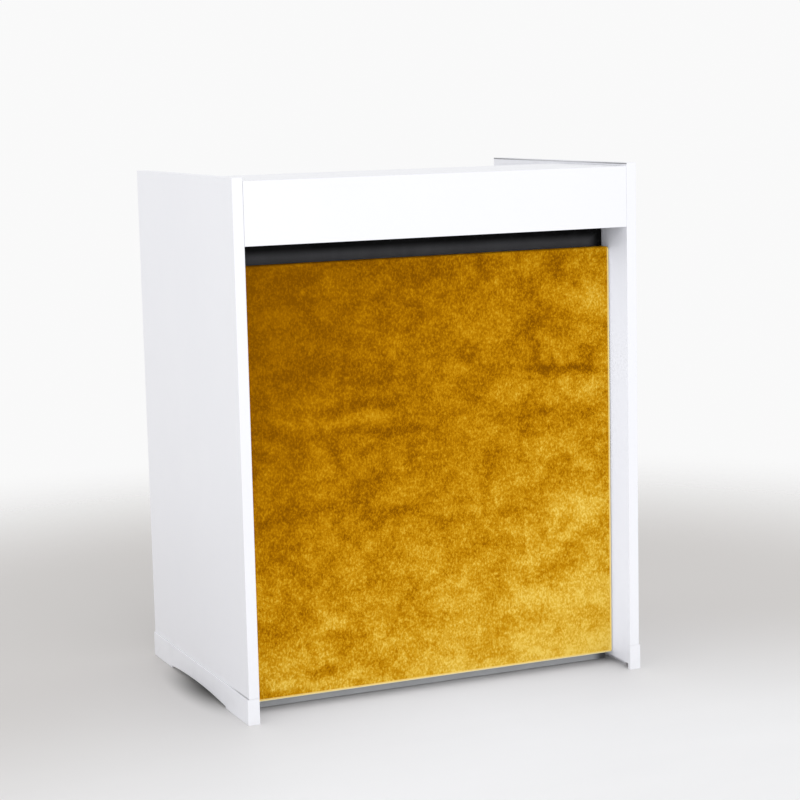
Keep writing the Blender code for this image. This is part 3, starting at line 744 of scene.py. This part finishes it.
def velvet_cover(finish):
    """One cloth: face grid, then rings that follow the profile round the board's edges."""
    low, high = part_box("velvet_cover")
    left, right = low.x + VELVET_CORNER, high.x - VELVET_CORNER
    bottom, top = low.z + VELVET_CORNER, high.z - VELVET_CORNER
    centres = (left, right, bottom, top)
    shape = bmesh.new()
    around = walk_round(velvet_face(shape, low.y, centres))
    previous = [vertex for vertex, _ in around]
    for outset, depth in velvet_profile(high.y - low.y):
        ring = []
        for vertex, facing in around:
            x, z = ring_place(vertex.co, facing, outset, centres)
            rise = crush(x, z) * (1 - min(depth / VELVET_EDGE, 1.0))
            lift = 0.0
            if outset < 0:
                wave = noise.noise(Vector((x * 30.0, z * 30.0, 0.5)))
                lift = LIP_WAVE * wave * min(-outset / 0.01, 1.0)
            ring.append(shape.verts.new((x, low.y + depth - rise + lift, z)))
        for i in range(len(ring)):
            after = (i + 1) % len(ring)
            corners = (previous[i], ring[i], ring[after], previous[after])
            shape.faces.new(dict.fromkeys(corners))
        previous = ring
    bmesh.ops.remove_doubles(shape, verts=shape.verts, dist=0.00001)
    cover = new_piece(
        "velvet", shape, finish, body_of("velvet_cover"), ["velvet_cover"]
    )
    thick = cover.modifiers.new("cloth", "SOLIDIFY")
    thick.thickness = VELVET_THICK
    thick.offset = -1.0


# ---------------------------------------------------------------------------- hardware
SCREW_HEAD = 0.0022  # height
SCREW_HEAD_RADIUS = 0.0045
SCREW_HEAD_RINGS = 18
SCREW_SIDES = 48
SCREW_CORE = 0.0013  # radius at the bottom of the thread
SCREW_CREST = 0.0019  # radius at the top of the thread
SCREW_PITCH = 0.0024
RECESS_REACH = 0.0024
RECESS_HALF_WIDTH = 0.0006
RECESS_DEPTH = 0.0013


def ease(value, start, end):
    share = min(max((value - start) / (end - start), 0.0), 1.0)
    return share * share * (3 - 2 * share)


def cross_recess(x, y):
    """Depth of the driver's cross at a point of a screw head."""
    deepest = 0.0
    for along, across in ((abs(x), abs(y)), (abs(y), abs(x))):
        inside = ease(across, RECESS_HALF_WIDTH + 0.0001, RECESS_HALF_WIDTH - 0.0001)
        inside *= ease(along, RECESS_REACH + 0.0001, RECESS_REACH - 0.0002)
        deepest = max(deepest, inside * RECESS_DEPTH * (1 - 0.45 * along / RECESS_REACH))
    return deepest


def screw_head(turns):
    """Rings from the middle of the head's top, over its rim and in to the shank."""
    rings = []
    for step in range(1, SCREW_HEAD_RINGS + 1):
        radius = SCREW_HEAD_RADIUS * step / SCREW_HEAD_RINGS
        dome = 1 - math.sqrt(max(1 - (radius / SCREW_HEAD_RADIUS) ** 4, 0.0))
        top = -SCREW_HEAD * (1 - 0.62 * dome)
        flat = circle(radius, turns, top)
        rings.append([(x, y, z + cross_recess(x, y)) for x, y, z in flat])
    rim = SCREW_HEAD_RADIUS
    for radius, height in ((rim, -0.0003), (rim - 0.0003, 0.0), (SCREW_CREST, 0.0)):
        rings.append(circle(radius, turns, height))
    return rings


def screw_thread(length, turns):
    """Rings of the shank: plain near the head, then threaded, with a tapered point."""
    plain = length * 0.3
    thread_end = length - 2 * SCREW_PITCH
    steps = round((length - plain) / (SCREW_PITCH / 4))
    rings = [circle(SCREW_CREST, turns, 0.0)]
    for step in range(steps + 1):
        height = plain + (length - plain) * step / steps
        point = max(1 - ease(height, thread_end, length), 0.08)
        started = ease(height, plain, plain + SCREW_PITCH)
        ring = []
        for turn in turns:
            phase = (height / SCREW_PITCH - turn / (2 * math.pi)) % 1.0
            crest = max(1 - abs(phase - 0.5) * 3.2, 0.0)
            depth = (SCREW_CREST - SCREW_CORE) * (1 - crest) * started
            radius = (SCREW_CREST - depth) * point
            ring.append((radius * math.cos(turn), radius * math.sin(turn), height))
        rings.append(ring)
    return rings


def screw_mesh(length, finish):
    """Pan-head wood screw along +Z, with the underside of its head at the origin."""
    turns = [2 * math.pi * i / SCREW_SIDES for i in range(SCREW_SIDES)]
    shape = bmesh.new()
    skin(shape, screw_head(turns))
    skin(shape, screw_thread(length, turns[::3]))
    return new_mesh(f"screw {length * 1000:.0f}", shape, finish)


def screw_place(name):
    """Where a screw's CAD node has the underside of its head, and its shank's length."""
    node = NODES[name]
    low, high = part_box(name)
    size = high - low
    axis = max(range(3), key=lambda i: size[i])
    middle = (low + high) / 2

    def reach(end):
        points = (node.matrix_world @ corner.co for corner in node.data.vertices)
        near = [point - middle for point in points if abs(point[axis] - end) < 0.0005]
        return max(math.hypot(p[axis - 1], p[axis - 2]) for p in near)

    drive = Vector((0.0, 0.0, 0.0))
    drive[axis] = 1.0 if reach(low[axis]) > reach(high[axis]) else -1.0
    seat = middle - drive * (size[axis] / 2 - SCREW_HEAD)
    turn = Vector((0, 0, 1)).rotation_difference(drive).to_matrix().to_4x4()
    return Matrix.Translation(seat) @ turn, size[axis] - SCREW_HEAD


def screws(finish):
    meshes = {}
    for number, name in enumerate(sorted(n for n in NODES if "_screw_" in n)):
        place, length = screw_place(name)
        key = round(length, 4)
        if key not in meshes:
            meshes[key] = screw_mesh(length, finish)
        place = place @ Matrix.Rotation(number * 0.7, 4, "Z")
        place_piece("detailed_" + name, meshes[key], body_of(name), [name], place)


PIN_CHAMFER = 0.0006
PIN_GROOVE = (0.001, 0.0004)  # width and depth


def shelf_pins(finish):
    """Plain steel pins with chamfered ends and a rolled stop groove at the panel's face."""
    for name in sorted(n for n in NODES if n.startswith("shelf_pin_")):
        low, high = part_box(name)
        half, radius = (high.x - low.x) / 2, (high.z - low.z) / 2
        edge = half - PIN_CHAMFER
        profile = [(radius * 0.55, -half), (radius * 0.72, -half), (radius, -edge)]
        width, depth = PIN_GROOVE
        for step in range(9):
            angle = math.pi * step / 8
            height = -width / 2 + width * step / 8
            profile.append((radius - depth * math.sin(angle), height))
        profile += [(radius, edge), (radius * 0.72, half), (radius * 0.55, half)]
        shape = bmesh.new()
        turned(shape, profile, 28)
        mesh = new_mesh(name, shape, finish)
        place = Matrix.Translation((low + high) / 2) @ Matrix.Rotation(math.pi / 2, 4, "Y")
        place_piece("detailed_" + name, mesh, body_of(name), [name], place)


GLIDE_DIMPLE = ((0.0004, 0.0013), (0.0015, 0.0013), (0.0018, 0.0003), (0.0021, 0.0))
GLIDE_ROUND = 0.0012  # radius round the bottom of the foot


def glides(finish):
    """Nylon nail-on glides: rounded foot, waist, collar, and a dimple over the nail."""
    for name in sorted(n for n in NODES if n.startswith("glide_")):
        low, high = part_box(name)
        radius, height = (high.x - low.x) / 2, high.z - low.z
        foot = radius * 0.8
        profile = list(GLIDE_DIMPLE)
        for step in range(7):
            angle = math.pi / 2 * step / 6
            out = foot - GLIDE_ROUND * (1 - math.sin(angle))
            profile.append((out, GLIDE_ROUND * (1 - math.cos(angle))))
        profile.append((foot, height * 0.35))
        for step in range(5):
            rise = step / 4
            out = foot + (radius - foot) * ease(rise, 0, 1)
            profile.append((out, height * (0.5 + 0.32 * rise)))
        profile += [(radius, height - 0.0004), (radius - 0.0004, height), (0.0004, height)]
        shape = bmesh.new()
        turned(shape, profile, 36)
        mesh = new_mesh(name, shape, finish)
        centre = (low + high) / 2
        place = Matrix.Translation((centre.x, centre.y, low.z))
        place_piece("detailed_" + name, mesh, body_of(name), [name], place)


BRACKET_THICK = 0.002
BRACKET_BEND = 0.0035  # outer radius
BRACKET_CORNER = 0.0045
BRACKET_ROUND = 0.0003  # of its pressed edges


def bracket_path(wall, rail, side, leg):
    """(x, y, inward x, inward y) along the strip's outer face, from end to end."""
    quarter = [math.pi / 2 * i / 12 for i in range(13)]
    steps = [leg - (leg - BRACKET_BEND) * (1 - math.cos(angle)) for angle in quarter]
    path = [(wall, rail - step, -side, 0) for step in steps]
    for i in range(1, 7):
        angle = math.pi / 2 * i / 7
        x = wall - side * BRACKET_BEND * (1 - math.cos(angle))
        y = rail - BRACKET_BEND * (1 - math.sin(angle))
        path.append((x, y, -side * math.cos(angle), -math.sin(angle)))
    return path + [(wall - side * step, rail, 0, -1) for step in reversed(steps)]


def corner_brackets(finish):
    """Pressed steel angles: a bent strip with rounded ends and eased edges."""
    for name in ("corner_bracket_left", "corner_bracket_right"):
        low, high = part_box(name)
        side = 1 if low.x > 0 else -1
        wall = high.x if side > 0 else low.x
        half, middle = (high.z - low.z) / 2, (low.z + high.z) / 2
        path = bracket_path(wall, high.y, side, high.y - low.y)
        along = [0.0]
        for one, two in zip(path, path[1:]):
            along.append(along[-1] + math.hypot(two[0] - one[0], two[1] - one[1]))

        def width(i):
            to_end = min(along[i], along[-1] - along[i], BRACKET_CORNER)
            cut = BRACKET_CORNER - to_end
            return half - BRACKET_CORNER + math.sqrt(BRACKET_CORNER**2 - cut**2)

        def point(i, v, depth=0.0):
            x, y, into_x, into_y = path[i]
            return (x + into_x * depth, y + into_y * depth, middle + v * width(i))

        shape = bmesh.new()
        across = (-1, -0.9, -0.45, 0, 0.45, 0.9, 1)
        slab(shape, range(len(path)), across, point, lambda i, v: point(i, v, BRACKET_THICK))
        made = new_piece("detailed_" + name, shape, finish, body_of(name), [name])
        round_edges(made, BRACKET_ROUND)


def round_edges(made, width):
    bevel = made.modifiers.new("pressed edges", "BEVEL")
    bevel.width = width
    bevel.segments = 2
    bevel.limit_method = "ANGLE"
    bevel.angle_limit = math.radians(50)


TAPE_PITCH = 0.005  # of the grid on it
SELVEDGE = 0.004
PILE_HEIGHT = 0.0016
TUFT_HEIGHT = 0.0003


def tapes(finishes):
    """Hook and loop tapes: a woven back, bare selvedges and a deep middle of pile."""
    for name in sorted(n for n in NODES if "_tape_" in n):
        kind = name.rsplit("_", 1)[0]
        hooks = kind == "hook_tape"
        low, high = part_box(name)
        # Hooks face the backing panel, loops face the insert.
        face, back, inward = (high.y, low.y, -1) if hooks else (low.y, high.y, 1)
        middle, half = (low.x + high.x) / 2, (high.x - low.x) / 2
        columns, rows = 20, round((high.z - low.z) / TAPE_PITCH)
        us = [low.x + (high.x - low.x) * i / columns for i in range(columns + 1)]
        vs = [low.z + (high.z - low.z) * j / rows for j in range(rows + 1)]

        def pile(u, v):
            out = ease(half - abs(u - middle), 0.0, SELVEDGE)
            ends = min(v - low.z, high.z - v)
            out *= ease(ends, -0.001, 0.004)
            tuft = noise.noise(Vector((u * 260.0, 3.0 * hooks, v * 260.0)))
            sink = PILE_HEIGHT * (1 - out) + TUFT_HEIGHT * out * (0.5 + tuft)
            return (u, face + inward * max(sink, 0.0), v)

        shape = bmesh.new()
        slab(shape, us, vs, pile, lambda u, v: (u, back, v))
        new_piece("detailed_" + name, shape, finishes[kind], body_of(name), [name])


STAPLE_PITCH = 0.060
STAPLE_CROWN = 0.010
STAPLE_LEG = 0.006
STAPLE_WIRE = 0.00035  # radius
STAPLE_BEND = 0.0008
STAPLE_INSET = 0.022  # from the insert's edge
STAPLE_GAP = 0.00005  # from the cloth out to the middle of the wire
STAPLE_ASKEW = 0.22  # radians, at most


def staple_path(centre, crown, into):
    """Points along the wire, from the point of one leg to the point of the other."""
    half = STAPLE_CROWN / 2
    path = [centre - crown * half + into * STAPLE_LEG]
    for end in (-1, 1):
        turn = []
        for step in range(5):
            angle = math.pi / 2 * step / 4
            out = half - STAPLE_BEND * (1 - math.cos(angle))
            deep = STAPLE_BEND * (1 - math.sin(angle))
            turn.append(centre + crown * out * end + into * deep)
        path += turn if end < 0 else reversed(turn)
    path.append(centre + crown * half + into * STAPLE_LEG)
    return path


def staples(finish):
    """Rows of wire staples that hold the velvet's lip to the back of the board."""
    low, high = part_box("velvet_cover")
    back = high.y + STAPLE_GAP
    left, right = low.x + STAPLE_INSET, high.x - STAPLE_INSET
    bottom, top = low.z + STAPLE_INSET, high.z - STAPLE_INSET
    upright, level, into = Vector((0, 0, 1)), Vector((1, 0, 0)), Vector((0, -1, 0))
    rows = (
        ("top", Vector((left, back, top)), level, right - left),
        ("bottom", Vector((left, back, bottom)), level, right - left),
        ("left", Vector((left, back, bottom)), upright, top - bottom),
        ("right", Vector((right, back, bottom)), upright, top - bottom),
    )
    for name, start, along, length in rows:
        shape = bmesh.new()
        count = round(length / STAPLE_PITCH)
        for number in range(count):
            centre = start + along * length * (number + 0.5) / count
            askew = STAPLE_ASKEW * noise.noise(Vector((number * 3.7, len(name), 0.3)))
            crown = Matrix.Rotation(askew, 3, "Y") @ along
            wire(shape, staple_path(centre, crown, into), crown.cross(into), STAPLE_WIRE)
        new_piece("staples_" + name, shape, finish, body_of("velvet_cover"))


# ---------------------------------------------------------------------------- assembly
def build():
    fascia_low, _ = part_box("fascia")
    _, skirt_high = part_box("base_skirt_right")
    finishes = {
        "white_lacquer": white_lacquer(*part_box("side_panel_right"), skirt_high.z),
        "charcoal_lacquer": charcoal_lacquer(fascia_low.z, *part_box("backing_panel")),
        "insert_board": raw_board(),
        "gold_velvet": gold_velvet(*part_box("velvet_cover")),
        "hook_tape": tape("hook_tape", HOOK_TONES, HOOK_PITCH),
        "loop_tape": tape("loop_tape", LOOP_TONES, LOOP_PITCH),
        "nylon": nylon(),
        "zinc_steel": zinc_steel(),
    }
    for name, node in NODES.items():
        node.data.materials.clear()
        node.data.materials.append(finishes[SLOTS[name]])
    velvet_cover(finishes["gold_velvet"])
    staples(finishes["zinc_steel"])
    tapes(finishes)
    screws(finishes["zinc_steel"])
    shelf_pins(finishes["zinc_steel"])
    corner_brackets(finishes["zinc_steel"])
    glides(finishes["nylon"])


aim_camera()
studio()
build()
